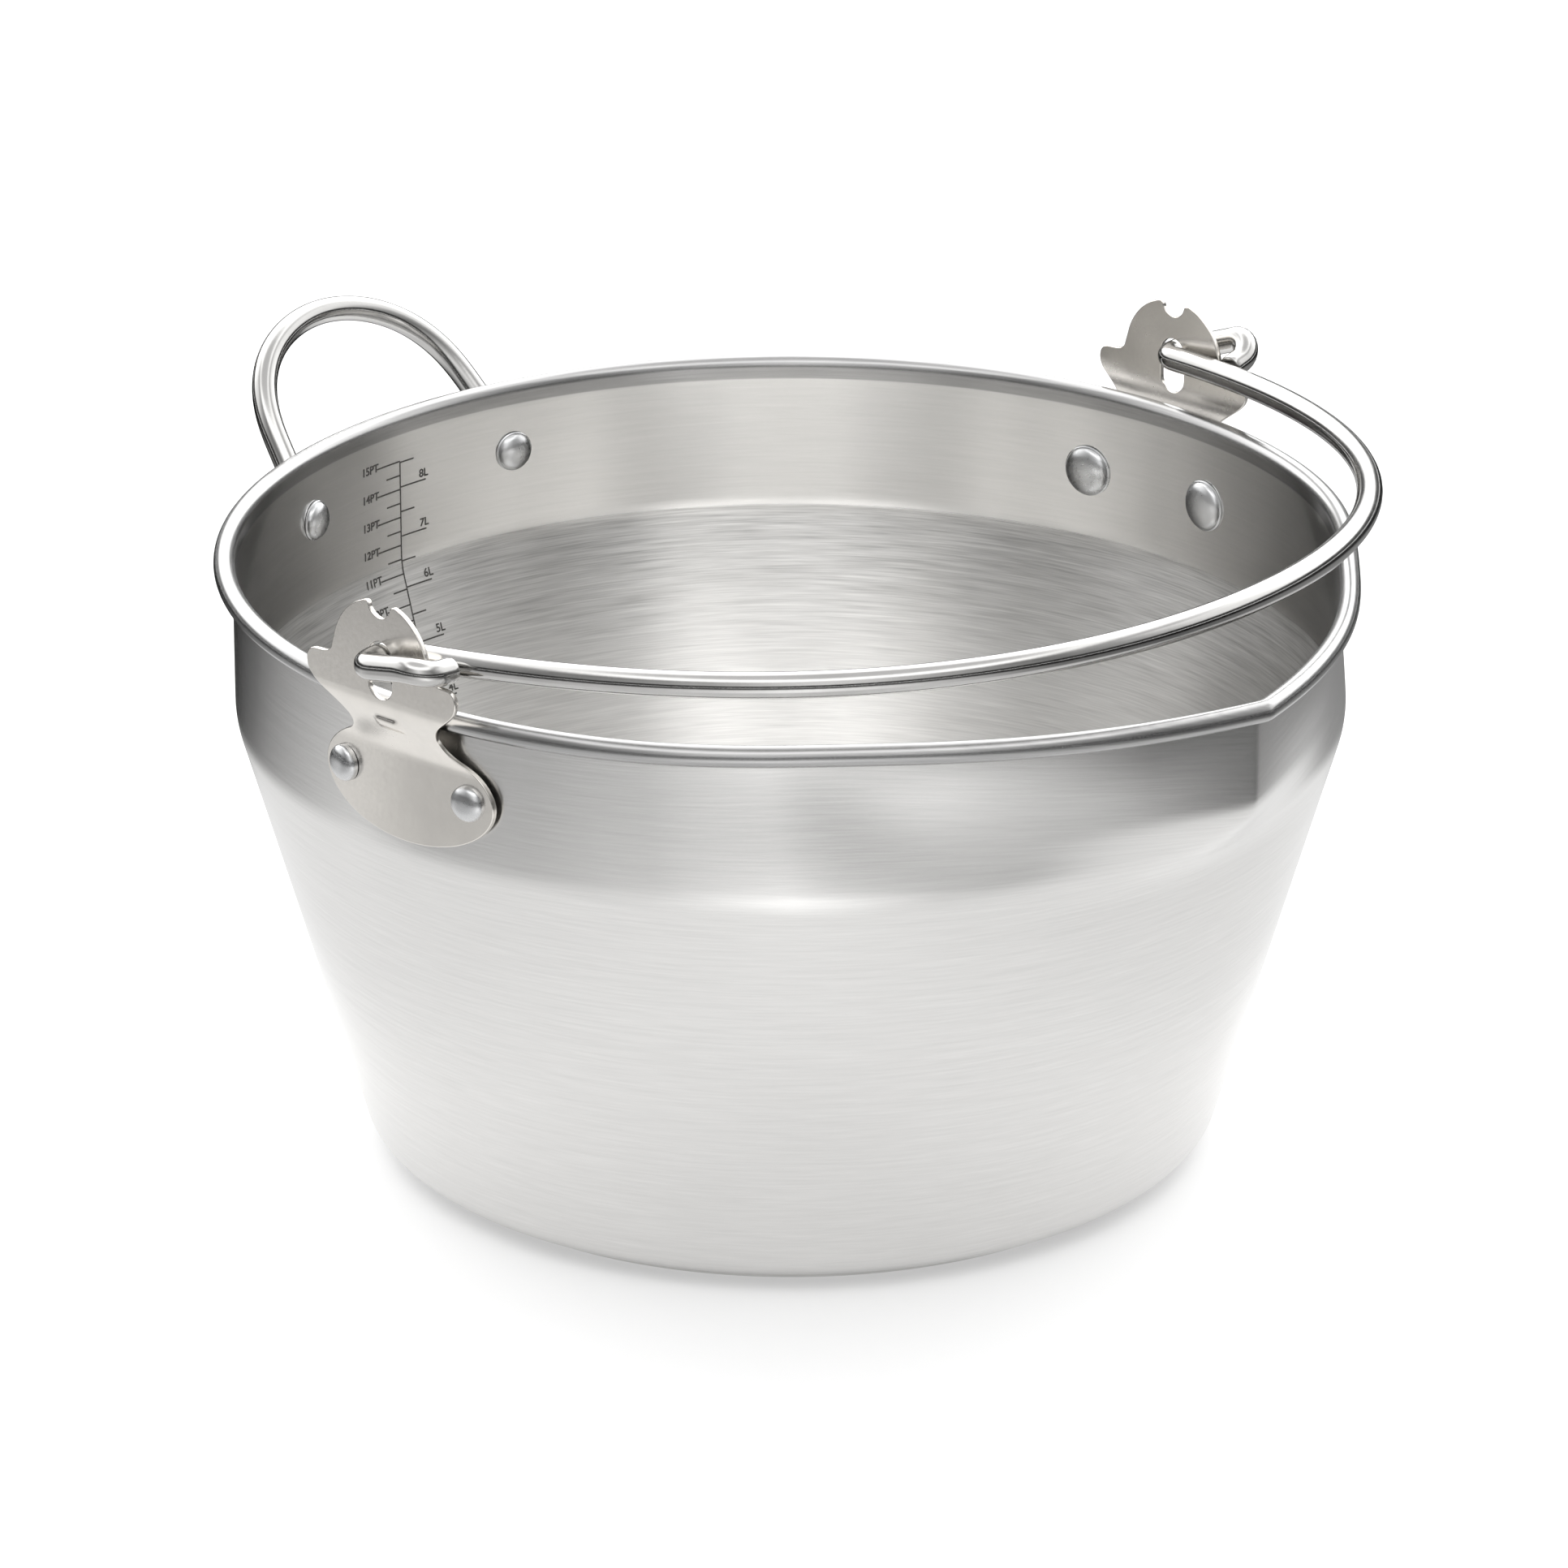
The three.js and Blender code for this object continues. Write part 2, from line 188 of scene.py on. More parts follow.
def add_mesh(name, verts, faces, soft_angle=40):
    mesh = bpy.data.meshes.new(name)
    mesh.from_pydata([tuple(v) for v in np.asarray(verts, float) * MM], [], faces)
    work = bmesh.new()
    work.from_mesh(mesh)
    bmesh.ops.recalc_face_normals(work, faces=work.faces)
    work.to_mesh(mesh)
    work.free()
    mesh.shade_smooth()
    mesh.set_sharp_from_angle(angle=rad(soft_angle))
    return in_scene(name, mesh)


def rings_to_mesh(rings):
    """Vertices and faces joining closed rings in order; a ring of one point is a pole."""
    verts = np.concatenate(rings)
    starts = np.cumsum([0] + [len(r) for r in rings])
    faces = []
    for k in range(len(rings) - 1):
        a, b = starts[k], starts[k + 1]
        na, nb = len(rings[k]), len(rings[k + 1])
        for i in range(max(na, nb)):
            j = (i + 1) % max(na, nb)
            if na == 1:
                faces.append((a, b + j, b + i))
            elif nb == 1:
                faces.append((a + i, a + j, b))
            else:
                faces.append((a + i, a + j, b + j, b + i))
    return verts, [tuple(int(v) for v in f) for f in faces]


def level_ring(r, heading, z):
    """A level ring of points round the upright axis; a radius of nothing gives one point."""
    if np.max(r) < 0.01:
        return np.array([[0, 0, z]])
    out = r + np.zeros_like(heading)
    return np.stack([out * np.cos(heading), out * np.sin(heading), np.full_like(out, z)], 1)


def spun(verts, angle):
    """The same points turned about the upright axis."""
    c, s = math.cos(angle), math.sin(angle)
    return verts @ np.array([[c, s, 0], [-s, c, 0], [0, 0, 1]])


def give(obj, material, body, node=None):
    obj.data.materials.append(material)
    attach(obj, body)
    if node:
        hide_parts(node)
    return obj


# ---- procedural materials ----

class Nodes:
    """Short spellings for building one material's node tree."""

    def __init__(self, name):
        self.material = bpy.data.materials.new(name)
        self.material.use_nodes = True
        self.tree = self.material.node_tree
        self.shader = self.tree.nodes["Principled BSDF"]

    def add(self, kind, **settings):
        node = self.tree.nodes.new(kind)
        for key, value in settings.items():
            setattr(node, key, value)
        return node

    def link(self, source, target):
        self.tree.links.new(source, target)

    def put(self, value, target):
        if isinstance(value, bpy.types.NodeSocket):
            self.link(value, target)
        else:
            target.default_value = value

    def math(self, operation, *values):
        node = self.add("ShaderNodeMath", operation=operation)
        for value, target in zip(values, node.inputs):
            self.put(value, target)
        return node.outputs[0]

    def plus(self, a, b):
        return self.math("ADD", a, b)

    def minus(self, a, b):
        return self.math("SUBTRACT", a, b)

    def times(self, a, b):
        return self.math("MULTIPLY", a, b)

    def hypot(self, a, b):
        return self.math("SQRT", self.plus(self.times(a, a), self.times(b, b)))

    def span(self, value, low, high, to_low=0.0, to_high=1.0):
        node = self.add("ShaderNodeMapRange", interpolation_type="SMOOTHSTEP")
        for v, target in zip((value, low, high, to_low, to_high), node.inputs):
            self.put(v, target)
        return node.outputs[0]

    def vector(self, x, y, z):
        node = self.add("ShaderNodeCombineXYZ")
        for value, target in zip((x, y, z), node.inputs):
            self.put(value, target)
        return node.outputs[0]

    def split(self, vector):
        node = self.add("ShaderNodeSeparateXYZ")
        self.link(vector, node.inputs[0])
        return node.outputs

    def noise(self, vector, scale, detail=2.0, rough=0.5):
        node = self.add("ShaderNodeTexNoise")
        self.put(vector, node.inputs["Vector"])
        node.inputs["Scale"].default_value = scale
        node.inputs["Detail"].default_value = detail
        node.inputs["Roughness"].default_value = rough
        return node.outputs["Fac"]

    def ramp(self, value, *stops):
        node = self.add("ShaderNodeValToRGB")
        self.put(value, node.inputs[0])
        elements = node.color_ramp.elements
        while len(elements) < len(stops):
            elements.new(0.5)
        for element, (place, colour) in zip(elements, stops):
            element.position = place
            element.color = (*colour, 1)
        return node.outputs[0]

    def bump(self, height, strength, distance):
        node = self.add("ShaderNodeBump")
        node.inputs["Strength"].default_value = strength
        node.inputs["Distance"].default_value = distance
        self.link(height, node.inputs["Height"])
        return node.outputs[0]


def object_point(n):
    return n.add("ShaderNodeTexCoord").outputs["Object"]


def around_axis(n, turns, across):
    """Coordinates that run slowly round the pan and quickly up or across its wall."""
    x, y, z = n.split(object_point(n))
    radius = n.hypot(x, y)
    safe = n.math("MAXIMUM", radius, 0.002)
    height = n.plus(z, n.times(radius, 0.6))
    return n.vector(
        n.times(n.math("DIVIDE", x, safe), turns),
        n.times(n.math("DIVIDE", y, safe), turns),
        n.times(height, across),
    )


def brushed_sheet():
    """Satin steel: faint rings from brushing outside, coarse ones inside below the crease, and a painted
    shade over the rim bead.
    """
    n = Nodes("brushed_sheet")
    fine = n.noise(around_axis(n, 9.0, 2200.0), 1.0, 2.0, 0.5)
    lines = n.noise(around_axis(n, 5.0, 900.0), 1.0, 3.0, 0.6)
    wide = n.noise(around_axis(n, 1.2, 120.0), 1.0, 2.0, 0.5)
    patch = n.noise(object_point(n), 12.0, 2.0, 0.5)
    inner = n.add("ShaderNodeAttribute", attribute_name="inner").outputs["Fac"]
    z = n.split(object_point(n))[2]
    below = n.times(inner, n.minus(1.0, n.span(z, *INNER_CREASE)))
    near_crease = n.times(below, n.span(z, *STREAKS_GROW))
    streak = n.plus(n.times(fine, 0.45), n.times(lines, 0.5))
    streak = n.plus(streak, n.times(wide, 0.05))
    depth = n.plus(0.3, n.times(below, 0.5))
    depth = n.plus(depth, n.times(near_crease, 0.6))
    varied = n.plus(0.5, n.times(n.minus(streak, 0.5), depth))
    darker = n.minus(varied, n.times(near_crease, 0.16))
    # Painted shade: from just under the rolled rim bead upwards, inside and out, the steel's colour is
    # darkened so the bead reads darker; the ramp's dark stop serves this and the deepest streaks
    darker = n.minus(darker, n.span(z, *RIM_PAINTED_SHADE_RISE, 0.0, RIM_PAINTED_SHADE))
    dark, mid, pale = (0.33, 0.33, 0.33), (0.565, 0.56, 0.55), (0.815, 0.808, 0.795)
    colour = n.ramp(darker, (0.0, dark), (0.3, mid), (0.7, pale))
    n.link(colour, n.shader.inputs["Base Color"])
    rough = n.plus(n.times(varied, 0.08), n.times(patch, 0.04))
    rough = n.plus(rough, n.times(below, 0.13))
    rough = n.minus(rough, n.times(inner, 0.05))
    n.link(n.plus(rough, 0.16), n.shader.inputs["Roughness"])
    n.shader.inputs["Metallic"].default_value = 1
    n.shader.inputs["Anisotropic"].default_value = 0.85
    n.shader.inputs["Anisotropic Rotation"].default_value = 0.25
    tangent = n.add("ShaderNodeTangent", direction_type="RADIAL", axis="Z")
    n.link(tangent.outputs[0], n.shader.inputs["Tangent"])
    n.link(n.bump(varied, 0.12, 0.0003), n.shader.inputs["Normal"])
    return n.material


def polished(name, colour, low, high, grain=900.0):
    n = Nodes(name)
    point = object_point(n)
    cloud = n.noise(point, 60.0, 3.0, 0.5)
    speck = n.noise(point, grain, 2.0, 0.5)
    dark = tuple(c * 0.9 for c in colour)
    n.link(n.ramp(cloud, (0.35, dark), (0.65, colour)), n.shader.inputs["Base Color"])
    mixed = n.plus(n.times(cloud, 0.6), n.times(speck, 0.4))
    n.link(n.span(mixed, 0.3, 0.7, low, high), n.shader.inputs["Roughness"])
    n.shader.inputs["Metallic"].default_value = 1
    n.link(n.bump(speck, 0.04, 0.0002), n.shader.inputs["Normal"])
    return n.material


def etched():
    n = Nodes("etched_marks")
    speck = n.noise(object_point(n), 2500.0, 2.0, 0.5)
    colour = n.ramp(speck, (0.3, (0.05, 0.048, 0.045)), (0.7, (0.12, 0.115, 0.11)))
    n.link(colour, n.shader.inputs["Base Color"])
    n.shader.inputs["Metallic"].default_value = 0.4
    n.link(n.span(speck, 0.3, 0.7, 0.45, 0.6), n.shader.inputs["Roughness"])
    return n.material


# ---- pan shell ----

def cone_radius(z):
    return WALL_R - (CREASE_Z - z) * math.tan(CONE_ANGLE)


def wall_face(inset):
    """One face of the sheet from the middle of the bottom to just under the rim."""
    degrees = math.degrees(CONE_ANGLE)
    flat = cone_radius(SHELL_BOTTOM) - CORNER_R * math.tan(math.pi / 4 - CONE_ANGLE / 2)
    floor = [(r, SHELL_BOTTOM + inset) for r in (0, 6, 15, 30, 50, 70, 88, 98, 103)]
    corner = arc(flat, SHELL_BOTTOM + CORNER_R, CORNER_R - inset, -90, -degrees, 10)
    cone = [(cone_radius(z) - inset / math.cos(CONE_ANGLE), z) for z in range(20, 118, 4)]
    start = CREASE_Z + CREASE_FILLET * math.tan(CONE_ANGLE / 2)
    crease = arc(WALL_R - CREASE_FILLET, start, CREASE_FILLET - inset, -degrees, 0, 7)
    band = [(WALL_R - inset, z) for z in np.arange(130.5, 162, 2.5)]
    return floor + corner + cone + crease + band


def shell_profile():
    bead = (RIM_R + WALL_R - SHEET) / 2
    bead_r = RIM_R - bead
    centre_z = RIM_TOP - bead_r
    outside = wall_face(0) + [(WALL_R, centre_z - bead_r + 0.55)]
    rolled = arc(bead, centre_z, bead_r, -137, 180, 30)
    inside = wall_face(SHEET)[::-1]
    return outside, rolled, inside


def lip_push(turn, z):
    """How far the pressed lip moves the wall outwards at an angle from the lip's middle."""
    blunt = 0.004 + 0.1 * (1 - smooth(*RIDGE_FADE, z))
    away = np.sqrt(turn ** 2 + blunt ** 2) - blunt * 0.35
    sharpness = LIP_SHARPNESS + LIP_NARROWING * (1 - smooth(*LIP_SPREAD, z))
    lip = np.clip(1 - away / LIP_HALF_ANGLE, 0, 1) ** sharpness
    flank = np.exp(-((np.abs(turn) - FLANK_AT) / FLANK_WIDTH) ** 2)
    return LIP_REACH * lip * smooth(*LIP_FADE, z) - FLANK_PULL * flank * smooth(*FLANK_FADE, z)


def shell():
    near = np.linspace(-9, 9, 61)
    far = np.linspace(9, 351, 275)[1:-1]
    turn = np.radians(np.concatenate([near, far]))
    signed = (turn + math.pi) % (2 * math.pi) - math.pi
    heading = turn - math.pi / 2 + LIP_TURN
    outside, rolled, inside = shell_profile()
    rings, inner = [], []
    for group, share in ((outside, 0.0), (rolled, 0.0), (inside, 1.0)):
        for r, z in group:
            rings.append(level_ring(r + lip_push(signed, z), heading, z))
            inner += [share] * len(rings[-1])
    obj = add_mesh("kettle_shell", *rings_to_mesh(rings), soft_angle=50)
    layer = obj.data.attributes.new("inner", "FLOAT", "POINT")
    layer.data.foreach_set("value", np.array(inner, np.float32))
    return obj


# ---- base ----

def turned(name, profile):
    heading = np.linspace(0, 2 * math.pi, 192, endpoint=False)
    return add_mesh(name, *rings_to_mesh([level_ring(r, heading, z) for r, z in profile]))


def base_cap():
    edge = arc(BASE_R - 0.9, 0.9, 0.9, -90, 0, 6)
    lip = arc(BASE_R - 0.3, CAP_HEIGHT - 0.3, 0.3, 0, 180, 6)
    middle = [(r, 0) for r in (0, 20, 45, 75, 95)]
    return turned("kettle_base_cap", middle + edge + lip + [(BASE_R - 0.7, 0.7), (0, 0.7)])


def base_core():
    r, low, high = BASE_R - 0.9, 0.9, SHELL_BOTTOM - 0.2
    return turned("kettle_base_core", [(0, low), (r, low), (r, high), (0, high)])


# ---- rods ----

def tube_rings(path, sides, widths, depths, normals):
    """Oval rings along a path; widths lie across and depths along each point's normal."""
    path = np.asarray(path, float)
    ahead = np.gradient(path, axis=0)
    ahead /= np.linalg.norm(ahead, axis=1)[:, None]
    turn = np.linspace(0, 2 * math.pi, sides, endpoint=False)
    rings = []
    for p, t, n, w, d in zip(path, ahead, normals, widths, depths):
        n = n - t * np.dot(n, t)
        n = n / np.linalg.norm(n)
        side = np.cross(t, n)
        ring = p + np.outer(np.cos(turn) * w, side) + np.outer(np.sin(turn) * d, n)
        rings.append(ring)
    return rings, ahead


def rounded_ends(rings, ahead, chamfer):
    """Closes a tube with a small round edge and a flat cut face at each end."""
    def end(ring, outward):
        centre = ring.mean(0)
        closing = []
        for a in (30, 60, 90):
            inward = 1 - chamfer * (1 - math.cos(rad(a)))
            radius = np.linalg.norm(ring - centre, axis=1).mean()
            push = outward * radius * chamfer * math.sin(rad(a))
            closing.append(centre + (ring - centre) * inward + push)
        return closing + [(centre + outward * radius * chamfer)[None]]
    first = end(rings[0], -ahead[0])[::-1]
    return first + rings + end(rings[-1], ahead[-1])


def evenly(points, step):
    """The same path with its points a given step apart."""
    points = np.asarray(points, float)
    length = np.concatenate([[0], np.cumsum(np.linalg.norm(np.diff(points, axis=0), axis=1))])
    count = max(2, int(round(length[-1] / step)) + 1)
    wanted = np.linspace(0, length[-1], count)
    return np.stack([np.interp(wanted, length, points[:, k]) for k in range(points.shape[1])], 1)


def bail_half(rise):
    """From the hook's end to the bow's middle: across, out from the hinge, and above the plane."""
    lean = math.degrees(LEG_LEAN)
    leg = arc(LEG_BEND_X, EYE_BEND, EYE_BEND, -90, -180 + lean, 14)
    top = leg[-1]
    pull_x, pull_d = BAIL_SHOULDER * math.sin(LEG_LEAN), BAIL_SHOULDER * math.cos(LEG_LEAN)
    shoulder = (top[0] - pull_x, top[1] + pull_d)
    bow = bezier(top, shoulder, (BAIL_CROWN, BAIL_REACH), (0, BAIL_REACH), 90)
    curl = arc(EYE_X - CURL_BEND, CURL_D - CURL_BEND, CURL_BEND, 90, 0, 14)
    run = [(EYE_X, d) for d in np.arange(CURL_D - CURL_BEND - 1, EYE_BEND, -1.0)]
    eye = arc(EYE_X - EYE_BEND, EYE_BEND, EYE_BEND, 0, -90, 14)
    hook = [(CURL_END_X + 0.6, CURL_D)] + curl + run + eye
    raised = [(x, d, rise * hook_shape(x, d)) for x, d in hook]
    return raised + [(x, d, 0) for x, d in leg + bow[1:]]


def hook_shape(x, d):
    """The hook's outer run stands above the bail's plane before its end curls back down."""
    along = min(max((d - 2) / (CURL_D - CURL_BEND - 2), 0), 1)
    inward = (EYE_X - x) / (EYE_X - CURL_END_X)
    return along * (1 - inward) ** 2.2


def bail():
    left = bail_half(HOOK_RISE_LEFT)[:-1][::-1]
    flat = bail_half(HOOK_RISE_RIGHT) + [(-x, d, h) for x, d, h in left]
    c, s = math.cos(BAIL_TILT), math.sin(BAIL_TILT)
    path = evenly([(x, AXIS_Y - d * c + h * s, PIVOT_Z + d * s + h * c) for x, d, h in flat], 1.1)
    path = softened(path)
    normal = np.array([0, math.sin(BAIL_TILT), math.cos(BAIL_TILT)])
    count = len(path)
    rings, ahead = tube_rings(path, 32, [ROD_R] * count, [ROD_R] * count, [normal] * count)
    return add_mesh("kettle_bail", *rings_to_mesh(rounded_ends(rings, ahead, 0.12)), soft_angle=50)


def loop_half():
    """From the tab's lower end up the leaning leg to the crown, as points in the pan's frame."""
    r_foot = WALL_R + FIT_GAP + TAB_T / 2
    x_foot = r_foot * math.sin(LOOP_RIVET_ANGLE)
    foot_y = (WALL_R + 0.6) * math.cos(LOOP_RIVET_ANGLE)
    tab_low = LOOP_RIVET_Z - 0.5 - TAB_HALF

    def at_wall(r, z):
        return (x_foot, math.sqrt(r * r - x_foot ** 2), z)

    def leaning(x, h):
        return (x, foot_y + h * math.sin(LOOP_LEAN), LOOP_FOOT_Z + h * math.cos(LOOP_LEAN))

    tab = [at_wall(r_foot, z) for z in np.linspace(tab_low, 150.5, 12)]
    bend = bezier(at_wall(r_foot, 150.5), at_wall(r_foot, 154.5), leaning(39.0, 5.5), leaning(38.4, 10), 10)
    leg = bezier((38.4, 10), (37.8, 14), (37.3, 17), (36.9, 20), 6)
    return tab, bend, leg, leaning


def quartic(points, steps):
    """A smooth curve pulled by five control points."""
    t = np.linspace(0, 1, steps + 1)[:, None]
    weights = (1, 4, 6, 4, 1)
    total = 0
    for k, (w, p) in enumerate(zip(weights, points)):
        total = total + w * t ** k * (1 - t) ** (4 - k) * np.asarray(p, float)
    return [tuple(p) for p in total]


def loop_handle():
    tab, bend, leg, leaning = loop_half()
    crown = quartic([(36.9, 20), (35.5, 30), (33.6, 44), (17, LOOP_RISE), (0, LOOP_RISE)], 50)
    half = tab + bend[1:] + [leaning(*p) for p in leg[1:]] + [leaning(*p) for p in crown[1:]]
    half = evenly(half, 1.0)
    path = softened(np.concatenate([half, (half * [-1, 1, 1])[:-1][::-1]]))
    low = path[0][2]
    height = path[:, 2] - low
    flat = 1 - smooth(11.0, 19.0, height)
    nose = np.sqrt(np.clip(1 - (np.clip(TAB_HALF - height, 0, None) / TAB_HALF) ** 2, 0.02, 1))
    width = (ROD_R + (TAB_HALF - ROD_R) * flat) * np.where(height < TAB_HALF, nose, 1)
    depth = ROD_R + (TAB_T / 2 - ROD_R) * flat
    outward = path * [1, 1, 0]
    outward /= np.linalg.norm(outward, axis=1)[:, None]
    leaning_normal = np.array([0, math.cos(LOOP_LEAN), -math.sin(LOOP_LEAN)])
    normals = outward * flat[:, None] + leaning_normal * (1 - flat[:, None])
    rings, ahead = tube_rings(path, 32, width, depth, normals)
    rings = [rings[0].mean(0)[None]] + rings + [rings[-1].mean(0)[None]]
    verts, faces = rings_to_mesh(rings)
    return add_mesh("kettle_loop_handle", spun(verts, LOOP_TURN), faces, soft_angle=60)


# ---- stop plates ----

def plate_outline():
    """Outline of half a plate, from the notch down to the foot's lowest point, as (u, height)."""
    notch = arc(0, NOTCH_RISE, NOTCH_R, -90, -8, 10)
    shoulder = bezier((3.85, 15.3), (4.5, 16.0), (5.4, 15.95), (6.6, 15.25), 5)
    head = arc(0, 0, HEAD_R, 66, 12, 18)
    stop = bezier((17.1, 1), (17.4, -1.4), (19.4, -1.7), (21.5, -1.8), 8)
    tooth = bezier((23.4, -1.9), (26.3, -2.2), (27, -5.4), (25.4, -8.2), 12)
    waist = bezier((25.4, -8.2), (22.6, -12), (17.4, -13.4), (15.6, -18.8), 12)
    oval_v = OVAL_Z - PLATE_Z
    flare = bezier((15.6, -18.8), (15.3, -21.6), (16.6, -23.4), (18.8, oval_v + 11.6), 8)
    foot = [(x * OVAL_HALF[0], y * OVAL_HALF[1] + oval_v) for x, y in arc(0, 0, 1, 50, -90, 30)]
    half = notch + shoulder[1:] + head[1:] + stop + tooth + waist[1:] + flare[1:] + foot[1:]
    return half + [(-x, y) for x, y in half[1:-1][::-1]]


def flat_plate():
    """The plate before bending: a filled 2D curve with rounded edges, cut into a fine grid."""
    data = bpy.data.curves.new("plate_blank", "CURVE")
    data.dimensions = "2D"
    data.fill_mode = "BOTH"
    slot = arc(0, PIVOT_Z - PLATE_Z, SLOT_HALF, 0, 180, 20)
    slot += arc(0, SLOT_BOTTOM_Z - PLATE_Z, SLOT_HALF, 180, 360, 20)
    for outline in (plate_outline(), slot):
        spline = data.splines.new("POLY")
        spline.points.add(len(outline) - 1)
        for point, (u, v) in zip(spline.points, outline):
            point.co = (u, v, 0, 1)
        spline.use_cyclic_u = True
    data.extrude = PLATE_T / 2 - PLATE_EDGE
    data.bevel_depth = PLATE_EDGE
    data.bevel_resolution = 3
    data.offset = -PLATE_EDGE
    mesh = mesh_of(data)
    work = bmesh.new()
    work.from_mesh(mesh)
    bmesh.ops.remove_doubles(work, verts=work.verts, dist=1e-4)
    cuts = [((0, 1, 0), (0, v, 0)) for v in np.arange(-50, 18, 2.0)]
    cuts += [((0, 1, 0), (0, v, 0)) for v in np.arange(-23, -12, 0.7)]
    cuts += [((1, 0, 0), (u, 0, 0)) for u in np.arange(-28, 29, 2.0)]
    cuts += [((1, 0, 0), (u, 0, 0)) for u in np.arange(-7, 7.1, 0.7)]
    for direction, point in cuts:
        everything = work.verts[:] + work.edges[:] + work.faces[:]
        bmesh.ops.bisect_plane(work, geom=everything, dist=1e-5, plane_co=point, plane_no=direction)
    bmesh.ops.recalc_face_normals(work, faces=work.faces)
    work.to_mesh(mesh)
    work.free()
    mesh.shade_smooth()
    mesh.set_sharp_from_angle(angle=rad(70))
    return mesh


def plate_face(u, z):
    """Inner face of the plate, with the small rib pressed across its bend."""
    step = smooth(*JOGGLE, z)
    foot = WALL_R + FIT_GAP
    bend = (1 - step) * u * u / (2 * FOOT_CURVE_R)
    rib = RIB_RISE * (1 - smooth(*RIB_ENDS, np.abs(u))) * (1 - smooth(*RIB_EDGES, np.abs(z - RIB_Z)))
    return foot + (STAND_OFF - foot) * step - bend + rib


def stop_plate(name, side):
    """Bends the flat blank onto the pan and carries its shading normals with it."""
    mesh = flat_plate()
    u, v, w = np.array([p.co[:] for p in mesh.vertices]).T
    normals = np.array([n.vector[:] for n in mesh.vertex_normals])
    for polygon in mesh.polygons:
        if abs(polygon.normal.z) > 0.999:
            normals[list(polygon.vertices)] = (0, 0, math.copysign(1, polygon.normal.z))
    nu, nv, nw = normals.T
    z = v + PLATE_Z
    slope_u = (plate_face(u + 0.05, z) - plate_face(u - 0.05, z)) / 0.1
    slope_z = (plate_face(u, z + 0.05) - plate_face(u, z - 0.05)) / 0.1
    place = np.stack([side * (plate_face(u, z) + w + PLATE_T / 2), side * u + AXIS_Y, z], 1) * MM
    bent = np.stack([side * nw, side * (nu - nw * slope_u), nv - nw * slope_z], 1)
    bent /= np.linalg.norm(bent, axis=1)[:, None]
    mesh.vertices.foreach_set("co", place.ravel())
    mesh.normals_split_custom_set_from_vertices(bent)
    mesh.update()
    return in_scene(name, mesh)


# ---- rivets ----

def rivet(name, heading, height, inner, outer, seat):
    """A wide low head inside the pan, a shank, and a small tall head on the seat outside."""
    wall = WALL_R - SHEET - 0.15
    head = [(inner * math.sin(rad(a)), wall - 0.5 - 2.5 * math.cos(rad(a))) for a in range(0, 91, 9)]
    head = [(r * 0.93, t) for r, t in head]
    flange = [(inner * 0.96, wall - 0.55), (inner, wall - 0.35), (inner, wall - 0.05)]
    shank = [(2.5, wall), (2.5, seat)]
    brow = seat + 0.8
    tip = [(outer, seat + 0.05), (outer, brow)]
    dome = [(outer * math.sin(rad(a)) ** 0.8, brow + 2.5 * math.cos(rad(a))) for a in range(81, -1, -9)]
    turn = np.linspace(0, 2 * math.pi, 48, endpoint=False)
    profile = head + flange + shank + tip + dome
    verts, faces = rings_to_mesh([level_ring(r, turn, t)[:, [2, 0, 1]] for r, t in profile])
    return add_mesh(name, spun(verts, heading) + [0, 0, height], faces, soft_angle=45)


# ---- litre and pint marks ----

def level_of(litres):
    """Height of the mark for that many litres, set so that the 8 litre mark is in its place."""
    heights = np.linspace(SHELL_BOTTOM + SHEET, 160, 1500)
    radius = np.where(heights < CREASE_Z, cone_radius(heights), WALL_R) - SHEET
    volume = np.concatenate([[0], np.cumsum(math.pi * radius[:-1] ** 2 * np.diff(heights))]) * 1e-6
    spare = np.interp(EIGHT_LITRE_Z, heights, volume) - 8.0
    return float(np.interp(litres + spare, volume, heights))


def inner_radius(z):
    z = np.asarray(z, float)
    cone = cone_radius(z) - SHEET / math.cos(CONE_ANGLE)
    start = CREASE_Z + CREASE_FILLET * math.tan(CONE_ANGLE / 2)
    low = start - (CREASE_FILLET - SHEET) * math.sin(CONE_ANGLE)
    reach = CREASE_FILLET - SHEET
    fillet = WALL_R - CREASE_FILLET + np.sqrt(np.clip(reach ** 2 - (z - start) ** 2, 0, None))
    return np.where(z > start, WALL_R - SHEET, np.where(z > low, fillet, cone))


def on_wall(s, z):
    """Points a hair inside the wall, s to the right of the scale's line as seen from inside."""
    radius = inner_radius(z) - 0.06
    heading = SCALE_ANGLE - np.asarray(s) / radius
    return np.stack([radius * np.cos(heading), radius * np.sin(heading), np.asarray(z, float)], 1)


